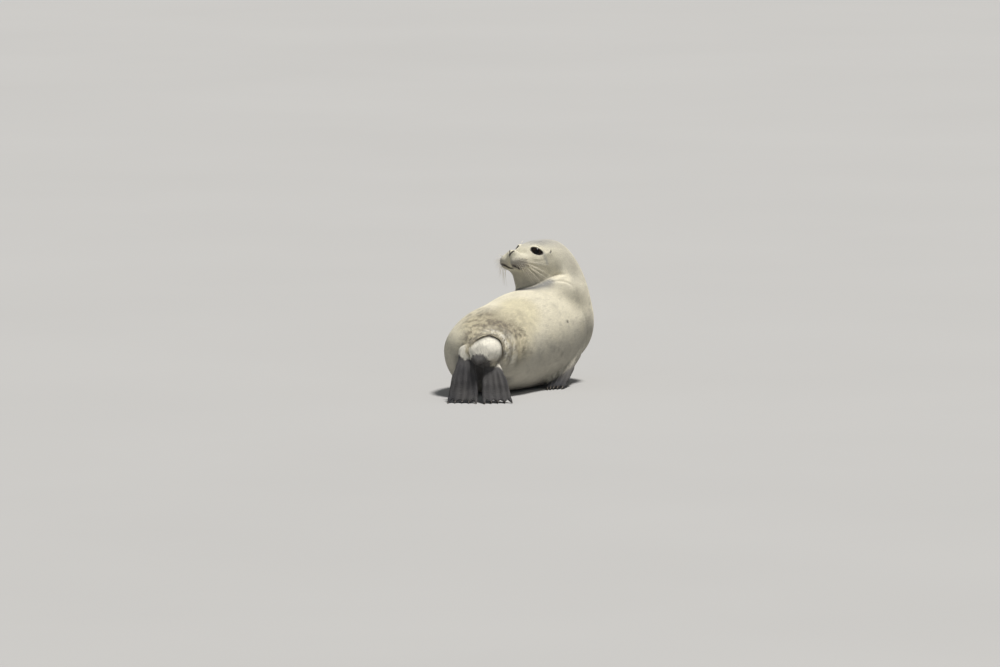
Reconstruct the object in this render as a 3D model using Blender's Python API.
"""Harbor seal, young animal, life size, as a still display model.

It lies on its belly with its tail towards -Y and its trunk bending to +X. The neck rises and folds
back, so that the head looks over the left shoulder, back along the body. Metres, +Z up. The origin is
on the floor, under the middle of the model's box.

The form of the flesh is one smooth body: a tube of egg-shaped sections along the spine, two eggs for
the neck, eight for the head, and blades for the flippers and the tail. Each named piece is then lofted
as rings on that form between two cutting planes, which leave a thin gap between neighbours.
"""
import bpy
import bmesh
import numpy as np
from math import radians, sin, cos, pi

# ---------------------------------------------------------------- driving dimensions, metres
GAP = 0.0003                    # gap between neighbouring pieces
CENTRE = (-0.00204, 0.333965)     # middle of the model's box in the construction frame
FLOOR_SINK = 0.0035             # how far the soft underside would sink below the floor
# stations along the spine, tail root to breast:
#  x, y, z of the spine, half width, half height above it, half height below it
SPINE = (
    (-0.089, 0.082, 0.130, 0.038, 0.036, 0.036),
    (-0.089, 0.109, 0.129, 0.049, 0.046, 0.046),
    (-0.090, 0.144, 0.125, 0.059, 0.054, 0.062),
    (-0.092, 0.188, 0.118, 0.100, 0.079, 0.101),
    (-0.088, 0.240, 0.115, 0.123, 0.094, 0.119),
    (-0.070, 0.300, 0.118, 0.130, 0.114, 0.130),
    (-0.040, 0.360, 0.121, 0.130, 0.120, 0.138),
    (-0.001, 0.420, 0.128, 0.132, 0.131, 0.143),
    (0.038, 0.475, 0.139, 0.126, 0.128, 0.147),
    (0.072, 0.525, 0.150, 0.111, 0.120, 0.142),
    (0.098, 0.560, 0.162, 0.100, 0.114, 0.114),
)
# neck eggs: centre, then radii forward, sideways, up
NECK = ((0.072, 0.582, 0.222, 0.070, 0.083, 0.126), (0.079, 0.576, 0.291, 0.082, 0.074, 0.069))
NECK_YAW = 30.0                  # degrees from -X towards -Y
HEAD_AT = (0.044, 0.556, 0.355)  # point between the ears
HEAD_YAW = 45.0                  # degrees from -X towards -Y
# head eggs in the head's own axes (forward, left, up): centre, radii, blend, mirrored pair or not
HEAD = (
    (-0.0471, 0.0000, -0.0440, 0.0672, 0.0715, 0.0755, 0.000, 0),   # cranium
    (0.0093, 0.0098, -0.0455, 0.0665, 0.0302, 0.0748, 0.030, 1),    # cheeks
    (0.0034, 0.0183, -0.0038, 0.0425, 0.0371, 0.0150, 0.024, 1),    # brows
    (0.0217, 0.0197, -0.0229, 0.0400, 0.0305, 0.0280, 0.020, 1),    # cheekbones
    (0.0339, 0.0000, -0.0320, 0.0344, 0.0501, 0.0218, 0.026, 0),    # bridge of the muzzle
    (0.0808, 0.0213, -0.0230, 0.0314, 0.0212, 0.0222, 0.014, 1),    # whisker pads
    (0.0882, 0.0000, -0.0068, 0.0141, 0.0224, 0.0179, 0.012, 0),    # nose pad
    (0.0530, 0.0000, -0.0415, 0.0360, 0.0275, 0.0176, 0.016, 0),    # lower jaw
)
# the fold of the shoulder in front of the cheek: points of a round bar and its radii
ROLL = (((0.030, 0.478, 0.232), 0.0200), ((0.058, 0.486, 0.2420), 0.0260), ((0.088, 0.497, 0.2530), 0.0300),
        ((0.115, 0.506, 0.2520), 0.0310), ((0.137, 0.520, 0.246), 0.0280))
# the hollow between cheek and shoulder: its line, depth, and how far it reaches over and under the line
VALLEY = (
    (-0.012, 0.500, 0.262), (0.011, 0.472, 0.2665), (0.040, 0.466, 0.2725), (0.062, 0.474, 0.2805),
    (0.081, 0.480, 0.2885), (0.098, 0.488, 0.2950), (0.115, 0.498, 0.2990))
VALLEY_DEEP = 0.020
VALLEY_OVER, VALLEY_UNDER, VALLEY_IN = 0.026, 0.0060, 0.032
EYE_AT = (0.0255, 0.0264, -0.0003)    # left eyeball's centre in the head's axes
EYE_R = 0.0200
NOTCH = (0.045, 0.470, 0.285)    # just above the fold where the throat meets the back
HEADING = (0.58, 0.815)          # the trunk's heading at the shoulders
RUMP_PLANE_Y = 0.235             # where rump and trunk are parted
NECK_ANGLE, HEAD_ANGLE = -18.0, 9.0   # cutting planes through the notch: chest to neck, neck to head
HIND_W = (0.019, 0.027, 0.036, 0.0405, 0.0425)    # half widths, ankle to toes
HIND_T = (0.0120, 0.0100, 0.0075, 0.0058, 0.0046)  # half thicknesses
FORE_W = (0.024, 0.029, 0.029, 0.025, 0.017)
FORE_T = (0.0140, 0.0110, 0.0085, 0.0070, 0.0055)
TAIL_W = (0.024, 0.023, 0.020, 0.013)
TAIL_T = (0.012, 0.010, 0.008, 0.005)


# ---------------------------------------------------------------- the smooth form
def smin(a, b, k):
    h = np.maximum(k - np.abs(a - b), 0) / k
    return np.minimum(a, b) - h * h * k * 0.25


def smax(a, b, k):
    return -smin(-a, -b, k)


def unit(v):
    v = np.asarray(v, float)
    return v / np.linalg.norm(v)


def cone(p, a, b, ra, rb):
    """Round bar from a to b with radii ra and rb."""
    a, b = np.asarray(a, float), np.asarray(b, float)
    ab = b - a
    t = np.clip(((p - a) @ ab) / (ab @ ab), 0, 1)
    d = p - a - t[:, None] * ab
    return np.sqrt((d * d).sum(1)) - (ra + (rb - ra) * t)


def egg(p, c, r, axes=None):
    q = p - np.asarray(c, float)
    if axes is not None:
        q = q @ axes
    r = np.asarray(r, float)
    k0 = np.sqrt(((q / r) ** 2).sum(1))
    k1 = np.sqrt(((q / r ** 2) ** 2).sum(1))
    return np.where(k1 > 1e-9, k0 * (k0 - 1) / np.maximum(k1, 1e-9), -r.min())


def rise(x, a, b):
    t = np.clip((x - a) / (b - a), 0, 1)
    return t * t * (3 - 2 * t)


class Tube:
    """A tube of egg-shaped sections along a smooth curve through the stations."""

    def __init__(self, rows, n=96, ease=14):
        R = np.array(rows, float)
        R = np.vstack([2 * R[0] - R[1], R, 2 * R[-1] - R[-2]])
        t = np.linspace(0, len(R) - 3 - 1e-9, 16 * n)
        i = t.astype(int)
        f = (t - i)[:, None]
        a, b, c, d = R[i], R[i + 1], R[i + 2], R[i + 3]
        C = 0.5 * (2 * b + (c - a) * f + (2 * a - 5 * b + 4 * c - d) * f ** 2
                   + (3 * b - a - 3 * c + d) * f ** 3)
        run = np.concatenate([[0], np.cumsum(np.linalg.norm(np.diff(C[:, :3], axis=0), axis=1))])
        even = np.linspace(0, run[-1], n)
        C = np.stack([np.interp(even, run, C[:, k]) for k in range(6)], 1)
        for _ in range(ease):
            C[1:-1] = 0.25 * C[:-2] + 0.5 * C[1:-1] + 0.25 * C[2:]
        self.c, self.s = C[:, :3], C[:, 3:]
        T = np.gradient(self.c, axis=0)
        self.t = T / np.linalg.norm(T, axis=1)[:, None]
        side = np.cross(self.t, (0.0, 0.0, 1.0))
        self.side = side / np.linalg.norm(side, axis=1)[:, None]
        self.up = np.cross(self.side, self.t)
        self.step = np.linalg.norm(np.diff(self.c, axis=0), axis=1).mean()

    def locate(self, p):
        n = len(self.c)
        best = np.empty(len(p), int)
        for k in range(0, len(p), 40000):
            P = p[k:k + 40000]
            D = (P * P).sum(1)[:, None] - 2 * P @ self.c.T + (self.c * self.c).sum(1)[None]
            best[k:k + 40000] = D.argmin(1)
        j = np.clip(best, 1, n - 2)
        q = p - self.c[j]
        a = (q * self.t[j]).sum(1)
        bend = (self.t[j + 1] - self.t[j - 1]) / (2 * self.step)
        u = j + a / self.step / np.maximum(1 - (q * bend).sum(1), 0.25)
        return np.clip(u, 0, n - 1)

    def at(self, arr, u):
        i = np.clip(u.astype(int), 0, len(arr) - 2)
        f = u - i
        if arr.ndim == 2:
            f = f[:, None]
        return arr[i] * (1 - f) + arr[i + 1] * f

    def dist(self, p):
        u = self.locate(p)
        c, s, t, side, up = (self.at(x, u) for x in (self.c, self.s, self.t, self.side, self.up))
        q = p - c
        a, b, g = (q * side).sum(1), (q * up).sum(1), (q * t).sum(1)
        w = s[:, 0]
        h = np.where(b > 0, s[:, 1], s[:, 2])
        k0 = np.sqrt((a / w) ** 2 + (b / h) ** 2 + (g / w) ** 2)
        k1 = np.sqrt((a / w ** 2) ** 2 + (b / h ** 2) ** 2 + (g / w ** 2) ** 2)
        return np.where(k1 > 1e-9, k0 * (k0 - 1) / np.maximum(k1, 1e-9), -np.minimum(w, h))


class Blade:
    """A flipper or tail: a blade along the line from root to tip, bowed along its face.
    width and thick are half sizes at even stations; toes is the number of toe ridges;
    reach(c) is the length factor at c = -1..1 across."""

    def __init__(self, root, tip, face, width, thick, bow, cup, toes, reach, bend=0.0):
        self.o = np.asarray(root, float)
        ax = np.asarray(tip, float) - self.o
        self.L = np.linalg.norm(ax)
        v = ax / self.L
        w = np.asarray(face, float)
        w = unit(w - (w @ v) * v)
        self.M = np.stack([np.cross(v, w), v, w], 1)
        self.width, self.thick = np.array(width), np.array(thick)
        self.bow, self.cup, self.toes, self.reach, self.bend = bow, cup, toes, reach, bend

    def st(self, s, arr):
        x = np.clip(s, 0, 1) * (len(arr) - 1)
        i = np.minimum(x.astype(int), len(arr) - 2)
        f = x - i
        f = f * f * (3 - 2 * f)
        return arr[i] * (1 - f) + arr[i + 1] * f

    def ridge(self, c):
        if not self.toes:
            return np.ones_like(c)
        x = (np.clip(c, -1, 1) * 0.5 / 0.88 + 0.5) * (self.toes - 1)
        return 0.5 + 0.5 * np.cos(2 * pi * (x - np.round(x)))

    def mid(self, c, s):
        s1 = np.clip(s, -0.2, 1.15)
        return (self.bow * np.sin(pi * np.clip(s1, 0, 1)) - self.cup * c * c * rise(s1, 0, 0.6)
                + self.bend * np.maximum(s1 - 0.6, 0) ** 2)

    def half(self, c, s):
        return self.st(s, self.thick) * (1 - 0.42 * rise(s, 0.15, 0.5) * (1 - self.ridge(c)))

    def point(self, c, s, face=0.0):
        """A point of the blade: across c, along s, face -1..1 through its thickness."""
        c, s = np.asarray(c, float), np.asarray(s, float)
        q = np.stack([c * self.st(s, self.width), s * self.L, self.mid(c, s) + face * self.half(c, s)], -1)
        return self.o + q @ self.M.T


def head_axes(yaw):
    y = radians(yaw)
    h = np.array((-cos(y), -sin(y), 0.0))
    l = np.array((sin(y), -cos(y), 0.0))
    return np.stack([h, l, np.cross(h, l)], 1)


TRUNK = Tube(SPINE)
HEAD_M = head_axes(HEAD_YAW)
NECK_M = head_axes(NECK_YAW)
HEAD_O = np.array(HEAD_AT)
HEAD_MID = np.array((0.055, 0.560, 0.355))    # the axis the head is lofted along passes here
PIVOT = np.array(NOTCH)


def head_form(p):
    q = (p - HEAD_O) @ HEAD_M
    m = q.copy()
    m[:, 1] = np.sqrt(m[:, 1] ** 2 + 0.006 ** 2)
    d = None
    for r in HEAD:
        e = egg(m if r[7] else q, r[:3], r[3:6])
        d = e if d is None else smin(d, e, r[6])
    return d


def neck_form(p):
    a, b = (egg(p, r[:3], r[3:], NECK_M) for r in NECK)
    return smin(a, b, 0.03)


def smooth_path(pts, n):
    """Catmull-Rom curve through the points."""
    P = np.asarray(pts, float)
    P = np.vstack([2 * P[0] - P[1], P, 2 * P[-1] - P[-2]])
    t = np.linspace(0, len(P) - 3 - 1e-9, n)
    i = t.astype(int)
    f = (t - i)[:, None]
    a, b, c, d = P[i], P[i + 1], P[i + 2], P[i + 3]
    return 0.5 * (2 * b + (c - a) * f + (2 * a - 5 * b + 4 * c - d) * f ** 2 + (3 * b - a - 3 * c + d) * f ** 3)


def roll_form(p):
    """The fold of the shoulder in front of the cheek."""
    d = None
    for (a, ra), (b, rb) in zip(ROLL, ROLL[1:]):
        e = cone(p, a, b, ra, rb)
        d = e if d is None else smin(d, e, 0.010)
    return d


VALLEY_LINE = smooth_path(VALLEY, 60)


def valley_cut(p):
    """Depth of the hollow between cheek and shoulder: steep on the shoulder's side, long on the cheek's."""
    x = p[:, 0]
    y = p[:, 1] - np.interp(x, VALLEY_LINE[:, 0], VALLEY_LINE[:, 1])
    z = p[:, 2] - np.interp(x, VALLEY_LINE[:, 0], VALLEY_LINE[:, 2])
    wide = VALLEY_UNDER + (VALLEY_OVER - VALLEY_UNDER) * rise(z, -0.003, 0.004)
    ends = rise(x, -0.020, 0.022) * (1 - rise(x, 0.090, 0.124))
    return VALLEY_DEEP * ends * np.exp(-(z / wide) ** 2 - (y / VALLEY_IN) ** 2)


def flesh(p):
    """Body, neck and head as one form resting on the floor; negative inside."""
    far = np.sqrt(((p - PIVOT) ** 2).sum(1))
    near = ((p - (0.075, 0.572, 0.250)) ** 2).sum(1) < 0.30 ** 2
    d = TRUNK.dist(p)
    d[near] = smin(d[near], roll_form(p[near]), 0.040)
    d = smin(d, neck_form(p), 0.045 + 0.065 * rise(far, 0.09, 0.18))
    d = smin(d, head_form(p), 0.025)
    d = d + valley_cut(p)
    d = smax(d, -(p[:, 2] + FLOOR_SINK), 0.02)
    return np.maximum(d, -p[:, 2])


# ---------------------------------------------------------------- lofting rings on the form
def centre_of(form, o, a, b, la, lb):
    """Middle of the form's section in the plane through o with directions a and b."""
    x = np.linspace(la[0], la[1], 61)
    y = np.linspace(lb[0], lb[1], 61)
    X, Y = np.meshgrid(x, y, indexing="ij")
    P = o + X.reshape(-1, 1) * a + Y.reshape(-1, 1) * b
    inside = form(P) < -0.0005
    if not inside.any():
        return None
    return P[inside].mean(0)


def ring_on(form, c, a, b, n, reach=0.30):
    """n points where rays from c in the plane of a and b leave the form."""
    th = 2 * pi * (np.arange(n) + 0.5) / n
    d = np.cos(th)[:, None] * a + np.sin(th)[:, None] * b
    steps = np.linspace(0, reach, 76)
    P = c + steps[None, :, None] * d[:, None, :]
    out = form(P.reshape(-1, 3)).reshape(n, -1) > 0
    k = np.argmax(out, 1)
    lo, hi = steps[k - 1], steps[k]
    for _ in range(26):
        m = 0.5 * (lo + hi)
        o = form(c + m[:, None] * d) > 0
        hi = np.where(o, m, hi)
        lo = np.where(o, lo, m)
    P = c + lo[:, None] * d
    P[P[:, 2] < 2e-6, 2] = 0.0
    return P


def loft(rings, pole_a=None, pole_b=None):
    """Closed mesh through rings of equal count; each end is a flat cap or a pole."""
    bm = bmesh.new()
    R = [[bm.verts.new(p) for p in ring] for ring in rings]
    n = len(R[0])
    for r0, r1 in zip(R, R[1:]):
        for j in range(n):
            k = (j + 1) % n
            bm.faces.new((r0[j], r0[k], r1[k], r1[j]))
    for ring, pole, end in ((R[0], pole_a, 0), (R[-1], pole_b, 1)):
        if pole is None:
            bm.faces.new(ring if end else ring[::-1])
        else:
            v = bm.verts.new(pole)
            for j in range(n):
                k = (j + 1) % n
                bm.faces.new((ring[j], ring[k], v) if end else (ring[k], ring[j], v))
    bmesh.ops.recalc_face_normals(bm, faces=bm.faces[:])
    if bm.calc_volume(signed=True) < 0:
        bmesh.ops.reverse_faces(bm, faces=bm.faces[:])
    return bm


def floor_cut(bm):
    """Cuts away what lies below the floor and closes the cut with a flat."""
    if min(v.co.z for v in bm.verts) >= 0:
        return
    bmesh.ops.bisect_plane(bm, geom=bm.verts[:] + bm.edges[:] + bm.faces[:], dist=1e-7,
                           plane_co=(0, 0, 0), plane_no=(0, 0, 1), clear_inner=True)
    for v in bm.verts:
        if abs(v.co.z) < 1e-6:
            v.co.z = 0.0
    edges = [e for e in bm.edges if e.is_boundary]
    bmesh.ops.holes_fill(bm, edges=edges, sides=0)
    bmesh.ops.recalc_face_normals(bm, faces=bm.faces[:])


def material(name, colour, rough):
    m = bpy.data.materials.new(name)
    m.use_nodes = True
    s = m.node_tree.nodes["Principled BSDF"]
    s.inputs["Base Color"].default_value = (*colour, 1)
    s.inputs["Roughness"].default_value = rough
    s.inputs["Metallic"].default_value = 0.0
    m.diffuse_color = (*colour, 1)
    return m


def add(name, bm, mat, smooth=True):
    me = bpy.data.meshes.new(name)
    bm.to_mesh(me)
    bm.free()
    ob = bpy.data.objects.new(name, me)
    me.materials.append(mat)
    bpy.context.scene.collection.objects.link(ob)
    if smooth:
        me.shade_smooth()
        me.set_sharp_from_angle(angle=radians(50))
    return ob


def swollen(ob, by, name):
    """A hidden cutter: a copy of the object grown along its normals."""
    bm = bmesh.new()
    bm.from_mesh(ob.data)
    bm.normal_update()
    moved = [v.co + v.normal * by for v in bm.verts]
    for v, co in zip(bm.verts, moved):
        v.co = co
    me = bpy.data.meshes.new(name)
    bm.to_mesh(me)
    bm.free()
    c = bpy.data.objects.new(name, me)
    bpy.context.scene.collection.objects.link(c)
    c.hide_render = True
    c.display_type = "WIRE"
    return c


def cut(ob, cutter):
    """Boolean difference, applied, keeping the largest body that is left."""
    mod = ob.modifiers.new("cut", "BOOLEAN")
    mod.operation = "DIFFERENCE"
    mod.solver = "EXACT"
    mod.object = cutter
    bpy.context.view_layer.update()
    dg = bpy.context.evaluated_depsgraph_get()
    new = bpy.data.meshes.new_from_object(ob.evaluated_get(dg))
    ob.modifiers.clear()
    old = ob.data
    ob.data = new
    bpy.data.meshes.remove(old)
    bm = bmesh.new()
    bm.from_mesh(new)
    bmesh.ops.remove_doubles(bm, verts=bm.verts[:], dist=2e-6)
    left = set(bm.verts)
    bodies = []
    while left:
        seed = left.pop()
        group, front = [seed], [seed]
        while front:
            v = front.pop()
            for e in v.link_edges:
                o = e.other_vert(v)
                if o in left:
                    left.remove(o)
                    group.append(o)
                    front.append(o)
        bodies.append(group)
    bodies.sort(key=len)
    for g in bodies[:-1]:
        bmesh.ops.delete(bm, geom=g, context="VERTS")
    bmesh.ops.recalc_face_normals(bm, faces=bm.faces[:])
    if bm.calc_volume(signed=True) < 0:
        bmesh.ops.reverse_faces(bm, faces=bm.faces[:])
    bm.to_mesh(new)
    bm.free()


# ---------------------------------------------------------------- the body's lengths
def trunk_frames(u0, u1, count):
    """Planes square to the spine between two places on it, as fractions of its length."""
    frames = []
    for u in np.linspace(u0, u1, count) * (len(TRUNK.c) - 1):
        u = np.array([u])
        o, t = TRUNK.at(TRUNK.c, u)[0], unit(TRUNK.at(TRUNK.t, u)[0])
        frames.append((o, t))
    return frames


def in_plane(t):
    a = unit(np.cross(t, (0, 0, 1)))
    return a, np.cross(a, t)


def body_piece(frames, n=32):
    """Rings in planes (origin, normal) across the flesh."""
    rings = []
    for o, t in frames:
        a, b = in_plane(t)
        c = centre_of(flesh, o, a, b, (-0.17, 0.17), (-0.16, 0.16))
        rings.append(ring_on(flesh, c, a, b, n, 0.24))
    return rings


def fan_frames(a0, a1, count):
    """Half planes through the notch, turning from straight down (-90) to level (0)."""
    e1 = np.array((*unit(HEADING), 0.0))
    s = np.array((e1[1], -e1[0], 0.0))
    out = []
    for ang in np.linspace(a0, a1, count):
        d = cos(radians(ang)) * e1 + sin(radians(ang)) * np.array((0, 0, 1.0))
        out.append((PIVOT, s, d, np.cross(s, d)))
    return out


def fan_piece(frames, shifts, n=32):
    rings = []
    for (o, s, d, nrm), sh in zip(frames, shifts):
        c = centre_of(flesh, o + nrm * sh, s, d, (-0.20, 0.20), (0.0, 0.36))
        rings.append(ring_on(flesh, c, s, d, n, 0.26))
    return rings


def limb(blade, lead, rows):
    """Mesh of a limb: rings of lead (centre, radius), then sections of the blade out to its tip."""
    if blade.toes:
        cs = np.linspace(-0.88, 0.88, 2 * blade.toes - 1)
    else:
        cs = np.linspace(-0.84, 0.84, 5)
    m = len(cs)
    n = 2 * m + 2
    # order round a section: upper face left to right, right edge, lower face right to left, left edge
    ang = np.concatenate([np.linspace(pi, 0, m + 2)[1:-1], [0.0], -np.linspace(0, pi, m + 2)[1:-1], [pi]])
    rings = []
    for c, r in lead:
        c = np.asarray(c, float)
        rings.append(c + r * (np.cos(ang)[:, None] * blade.M[:, 0] + np.sin(ang)[:, None] * blade.M[:, 2]))
    edge = np.sqrt(np.clip(1 - np.abs(cs) ** 6, 0, 1))
    for s0 in rows:
        s = s0 * blade.reach(cs)
        close = np.sqrt(max(0.0, 1 - max(0.0, (s0 - 0.90) / 0.12) ** 2))
        up = blade.point(cs, s, edge * close)
        dn = blade.point(cs, s, -edge * close)
        one = np.array([1.0])
        r = blade.point(one, s0 * blade.reach(one))
        l = blade.point(-one, s0 * blade.reach(-one))
        rings.append(np.concatenate([up, r, dn[::-1], l]))
    bm = bmesh.new()
    R = [[bm.verts.new(p) for p in ring] for ring in rings]
    for r0, r1 in zip(R, R[1:]):
        for j in range(n):
            k = (j + 1) % n
            bm.faces.new((r0[j], r0[k], r1[k], r1[j]))
    bm.faces.new(R[0][::-1])
    last = R[-1]
    up, r, dn, l = last[:m], last[m], last[m + 1:2 * m + 1][::-1], last[2 * m + 1]
    bm.faces.new((l, up[0], dn[0]))
    for j in range(m - 1):
        bm.faces.new((up[j], up[j + 1], dn[j + 1], dn[j]))
    bm.faces.new((up[-1], r, dn[-1]))
    bmesh.ops.triangulate(bm, faces=[f for f in bm.faces if len(f.verts) == 4])
    bmesh.ops.recalc_face_normals(bm, faces=bm.faces[:])
    if bm.calc_volume(signed=True) < 0:
        bmesh.ops.reverse_faces(bm, faces=bm.faces[:])
    floor_cut(bm)
    return bm


def claw(blade, c, long, r, lift, pitch, droop, grow=0.0):
    """A curved claw out of the toe at c, its root inside the toe, pitched up from it and drooping
    to its tip; grow swells it for its socket."""
    tip_s = float(blade.reach(np.array([c]))[0])
    o = blade.point(c, tip_s - 0.045, lift)
    v = unit(blade.point(c, tip_s, lift) - blade.point(c, tip_s - 0.08, lift))
    w = blade.M[:, 2]
    v = unit(v + pitch * unit(w - (w @ v) * v))
    u = unit(np.cross(v, w))
    w = np.cross(u, v)
    o = o - v * grow
    long = long + 2 * grow
    bm = bmesh.new()
    rows = []
    for t, k in ((0.0, 0.92), (0.35, 1.0), (0.72, 0.68)):
        q = o + v * long * t - w * droop * t * t
        rad = r * k + grow
        rows.append([bm.verts.new(q + rad * (cos(a) * u * 0.8 + sin(a) * w)) for a in np.arange(6) * pi / 3])
    tip = bm.verts.new(o + v * long - w * droop)
    for r0, r1 in zip(rows, rows[1:]):
        for j in range(6):
            bm.faces.new((r0[j], r0[(j + 1) % 6], r1[(j + 1) % 6], r1[j]))
    for j in range(6):
        bm.faces.new((rows[-1][j], rows[-1][(j + 1) % 6], tip))
    bm.faces.new(rows[0][::-1])
    bmesh.ops.recalc_face_normals(bm, faces=bm.faces[:])
    if bm.calc_volume(signed=True) < 0:
        bmesh.ops.reverse_faces(bm, faces=bm.faces[:])
    return bm


def main():
    for ob in list(bpy.data.objects):
        bpy.data.objects.remove(ob, do_unlink=True)

    coat = {
        "head": material("coat_head", (0.66, 0.62, 0.52), 0.75),
        "body": material("coat_body", (0.70, 0.65, 0.48), 0.75),
        "rump": material("coat_rump", (0.50, 0.46, 0.38), 0.80),
        "flipper": material("coat_flipper", (0.36, 0.34, 0.31), 0.70),
        "eye": material("eye_dark", (0.012, 0.010, 0.009), 0.08),
        "claw": material("claw_dark", (0.05, 0.045, 0.04), 0.40),
    }
    pieces = {}

    # rump: from the rounded end of the body to the first plane
    c0 = TRUNK.c
    u_rump = float(np.interp(RUMP_PLANE_Y, c0[:, 1], np.linspace(0, 1, len(c0))))
    e1 = np.array((*unit(HEADING), 0.0))
    reach_end = np.interp(0.0, (c0 - PIVOT) @ e1, np.linspace(0, 1, len(c0)))
    frames = trunk_frames(0.0, u_rump, 11)
    o0, t0 = frames[0]
    cap_len = float(TRUNK.s[0, 0])
    caps = [(o0 - t0 * cap_len * k, t0) for k in (0.93, 0.75, 0.45)]
    frames = caps + frames
    o, t = frames[-1]
    frames[-1] = (o - t * GAP / 2, t)
    rings = body_piece(frames)
    pole = None
    lo, hi = 0.0, 1.6 * cap_len
    for _ in range(40):
        m = 0.5 * (lo + hi)
        if flesh((o0 - t0 * m)[None])[0] < 0:
            lo = m
        else:
            hi = m
    pole = o0 - t0 * lo
    pieces["rump"] = add("rump", loft(rings, pole_a=pole), coat["rump"])

    # trunk: to the upright plane under the notch; the planes turn smoothly into it
    frames = trunk_frames(u_rump, float(reach_end), 12)
    frames[0] = (frames[0][0] + frames[0][1] * GAP / 2, frames[0][1])
    lastc = np.array((*(PIVOT[:2] + ((frames[-1][0] - PIVOT) @ np.array((e1[1], -e1[0], 0.0)))
                        * np.array((e1[1], -e1[0]))), frames[-1][0][2]))
    turned = []
    for k, (o, t) in enumerate(frames):
        f = (k / (len(frames) - 1)) ** 3
        turned.append((o, unit(t * (1 - f) + e1 * f)))
    turned[-1] = (lastc - e1 * GAP / 2, e1)
    pieces["trunk"] = add("trunk", loft(body_piece(turned)), coat["body"])

    # chest and neck: fans of planes through the notch
    fr = fan_frames(-90, NECK_ANGLE, 15)
    sh = [0.0] * len(fr)
    sh[0] = GAP / 2
    sh[-1] = -GAP / 2
    # the fan's normals point back along the turn, so the first plane moves forward and the last back
    sh = [x if fr[0][3] @ e1 > 0 else -x for x in sh]
    pieces["chest"] = add("chest", loft(fan_piece(fr, sh)), coat["body"])
    fr = fan_frames(NECK_ANGLE, HEAD_ANGLE, 6)
    sh = [0.0] * len(fr)
    sh[0] = GAP / 2
    sh[-1] = -GAP / 2
    sh = [x if fan_frames(-90, 0, 2)[0][3] @ e1 > 0 else -x for x in sh]
    pieces["neck"] = add("neck", loft(fan_piece(fr, sh)), coat["body"])

    # head: rings square to the axis of the neck, above the last plane
    _, s, d, nrm = fan_frames(HEAD_ANGLE, HEAD_ANGLE, 1)[0]
    upn = nrm if nrm[2] > 0 else -nrm

    def head_only(p):
        return np.maximum(flesh(p), -((p - PIVOT) @ upn - GAP / 2))

    h, l, w = NECK_M[:, 0], NECK_M[:, 1], NECK_M[:, 2]
    xs = np.linspace(-0.16, 0.13, 581)
    hit = [x for x in xs if centre_of(head_only, HEAD_MID + h * x, l, w, (-0.11, 0.11), (-0.09, 0.06)) is not None]
    x0, x1 = hit[0], hit[-1]
    rows = 27
    even = np.linspace(0, 1, rows)
    xr = x0 + (x1 - x0) * (0.72 * even + 0.28 * (0.5 - 0.5 * np.cos(pi * even)))
    rings = []
    for x in xr:
        c = centre_of(head_only, HEAD_MID + h * x, l, w, (-0.11, 0.11), (-0.09, 0.06))
        rings.append(ring_on(head_only, c, l, w, 36, 0.16))
    pole_a = rings[0].mean(0) - h * 0.0004
    pole_b = rings[-1].mean(0) + h * 0.0004
    pieces["head"] = add("head", loft(rings, pole_a, pole_b), coat["head"])

    # eyes, in sockets of their own size
    for side, name in ((1, "eye_left"), (-1, "eye_right")):
        at = HEAD_O + HEAD_M @ np.array((EYE_AT[0], EYE_AT[1] * side, EYE_AT[2]))
        bm = bmesh.new()
        bmesh.ops.create_uvsphere(bm, u_segments=18, v_segments=10, radius=EYE_R)
        for v in bm.verts:
            v.co = v.co + type(v.co)(at)
        ob = add(name, bm, coat["eye"])
        c = swollen(ob, GAP + 0.0001, "cutter_" + name)
        cut(pieces["head"], c)
        pieces[name] = ob

    # limbs
    hind = dict(width=HIND_W, thick=HIND_T, cup=-0.002, toes=5, bend=0.13,
                reach=lambda c: 0.95 + 0.05 * c * c)
    fore = dict(width=FORE_W, thick=FORE_T, cup=0.002, toes=5, bend=0.09)
    blades = {
        "hind_flipper_left": Blade((-0.142, 0.102, 0.120), (-0.153, 0.022, -0.0150), (0, 0, 1), bow=0.014, **hind),
        "hind_flipper_right": Blade((-0.078, 0.094, 0.102), (-0.062, 0.016, -0.0149), (0, 0, 1), bow=0.012, **hind),
        "fore_flipper_right": Blade((0.128, 0.470, 0.066), (0.086, 0.338, -0.0134), (0.24, -0.06, 0.97), bow=0.008,
                                    reach=lambda c: 0.90 + 0.10 * c, **fore),
        "fore_flipper_left": Blade((0.005, 0.578, 0.056), (-0.120, 0.606, -0.0118), (0.0, 0.12, 0.99), bow=0.010,
                                   reach=lambda c: 0.90 - 0.10 * c, **fore),
        "tail": Blade((-0.098, 0.100, 0.138), (-0.115, 0.032, 0.100), (-0.25, -0.75, 0.55), TAIL_W, TAIL_T,
                      bow=0.006, cup=0.003, toes=0, reach=lambda c: 1.0 - 0.12 * c * c),
    }
    lead = {
        "hind_flipper_left": (((-0.096, 0.118, 0.131), 0.044), ((-0.114, 0.112, 0.1285), 0.035),
                              ((-0.129, 0.108, 0.1265), 0.027), ((-0.1410, 0.104, 0.1240), 0.0205)),
        "hind_flipper_right": (((-0.088, 0.128, 0.112), 0.037), ((-0.083, 0.109, 0.106), 0.029)),
        "fore_flipper_right": (((0.094, 0.512, 0.096), 0.026), ((0.114, 0.494, 0.080), 0.026)),
        "fore_flipper_left": (((0.050, 0.560, 0.085), 0.026), ((0.026, 0.570, 0.070), 0.026)),
        "tail": (((-0.093, 0.118, 0.140), 0.020),),
    }
    rows = (0.04, 0.16, 0.28, 0.40, 0.52, 0.64, 0.75, 0.85, 0.93, 1.0)
    order = ("hind_flipper_left", "hind_flipper_right", "tail", "fore_flipper_right", "fore_flipper_left")
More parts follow.
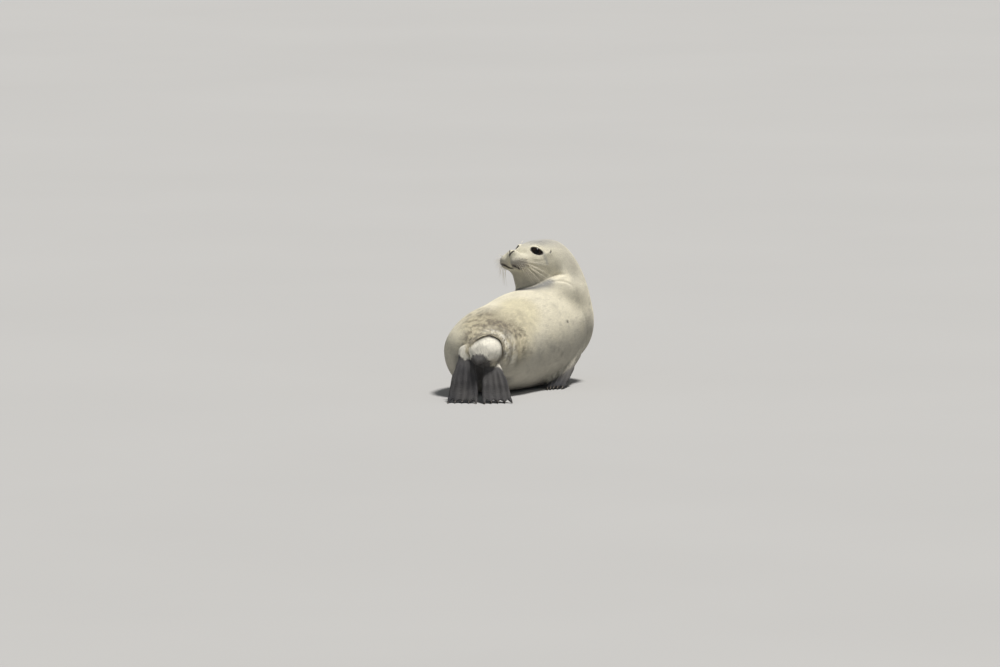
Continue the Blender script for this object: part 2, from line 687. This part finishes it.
    claws = {"hind": dict(long=0.012, r=0.0021, lift=0.70, pitch=0.58, droop=0.0006),
             "fore": dict(long=0.020, r=0.0028, lift=0.55, pitch=0.28, droop=0.0024)}
    cutters = {k: swollen(pieces[k], GAP + 0.0001, "cutter_" + k) for k in ("rump", "trunk", "chest")}
    for name in order:
        b = blades[name]
        bm = limb(b, lead[name], rows if b.toes else (0.10, 0.30, 0.50, 0.70, 0.85, 0.94, 1.0))
        pieces[name] = add(name, bm, coat["flipper"] if b.toes else coat["rump"])
        against = ("chest", "trunk") if name.startswith("fore") else ("rump", "trunk")
        for k in against:
            cut(pieces[name], cutters[k])
        if name in ("hind_flipper_right", "tail"):
            cut(pieces[name], cutters["hind_flipper_left"])
        if name == "tail":
            cut(pieces[name], cutters["hind_flipper_right"])
        if name.startswith("hind"):
            cutters[name] = swollen(pieces[name], GAP + 0.0001, "cutter_" + name)
        if b.toes:
            kind = name[:4]
            for j, c in enumerate(np.linspace(-0.88, 0.88, b.toes)):
                sock = claw(b, c, grow=GAP + 0.0001, **claws[kind])
                me = bpy.data.meshes.new("cutter_claw")
                sock.to_mesh(me)
                sock.free()
                co = bpy.data.objects.new("cutter_%s_claw_%d" % (name, j + 1), me)
                bpy.context.scene.collection.objects.link(co)
                co.hide_render = True
                co.display_type = "WIRE"
                cut(pieces[name], co)
                bpy.data.objects.remove(co, do_unlink=True)
                bm = claw(b, c, **claws[kind])
                nm = "claw_%s_%s_%d" % (kind, name.split("_")[-1], j + 1)
                pieces[nm] = add(nm, bm, coat["claw"])
    for ob in list(bpy.data.objects):
        if ob.name.startswith("cutter"):
            bpy.data.objects.remove(ob, do_unlink=True)

    # a parent at the origin carries every piece; the meshes move from the construction frame to it
    root = bpy.data.objects.new("seal", None)
    bpy.context.scene.collection.objects.link(root)
    total = 0
    for ob in pieces.values():
        for v in ob.data.vertices:
            v.co.x -= CENTRE[0]
            v.co.y -= CENTRE[1]
        ob.parent = root
        total += sum(len(p.vertices) - 2 for p in ob.data.polygons)
    co = np.array([v.co[:] for ob in pieces.values() for v in ob.data.vertices])
    print("seal: %d pieces, about %d triangles, box %s to %s" % (len(pieces), total, co.min(0).round(5), co.max(0).round(5)))


main()
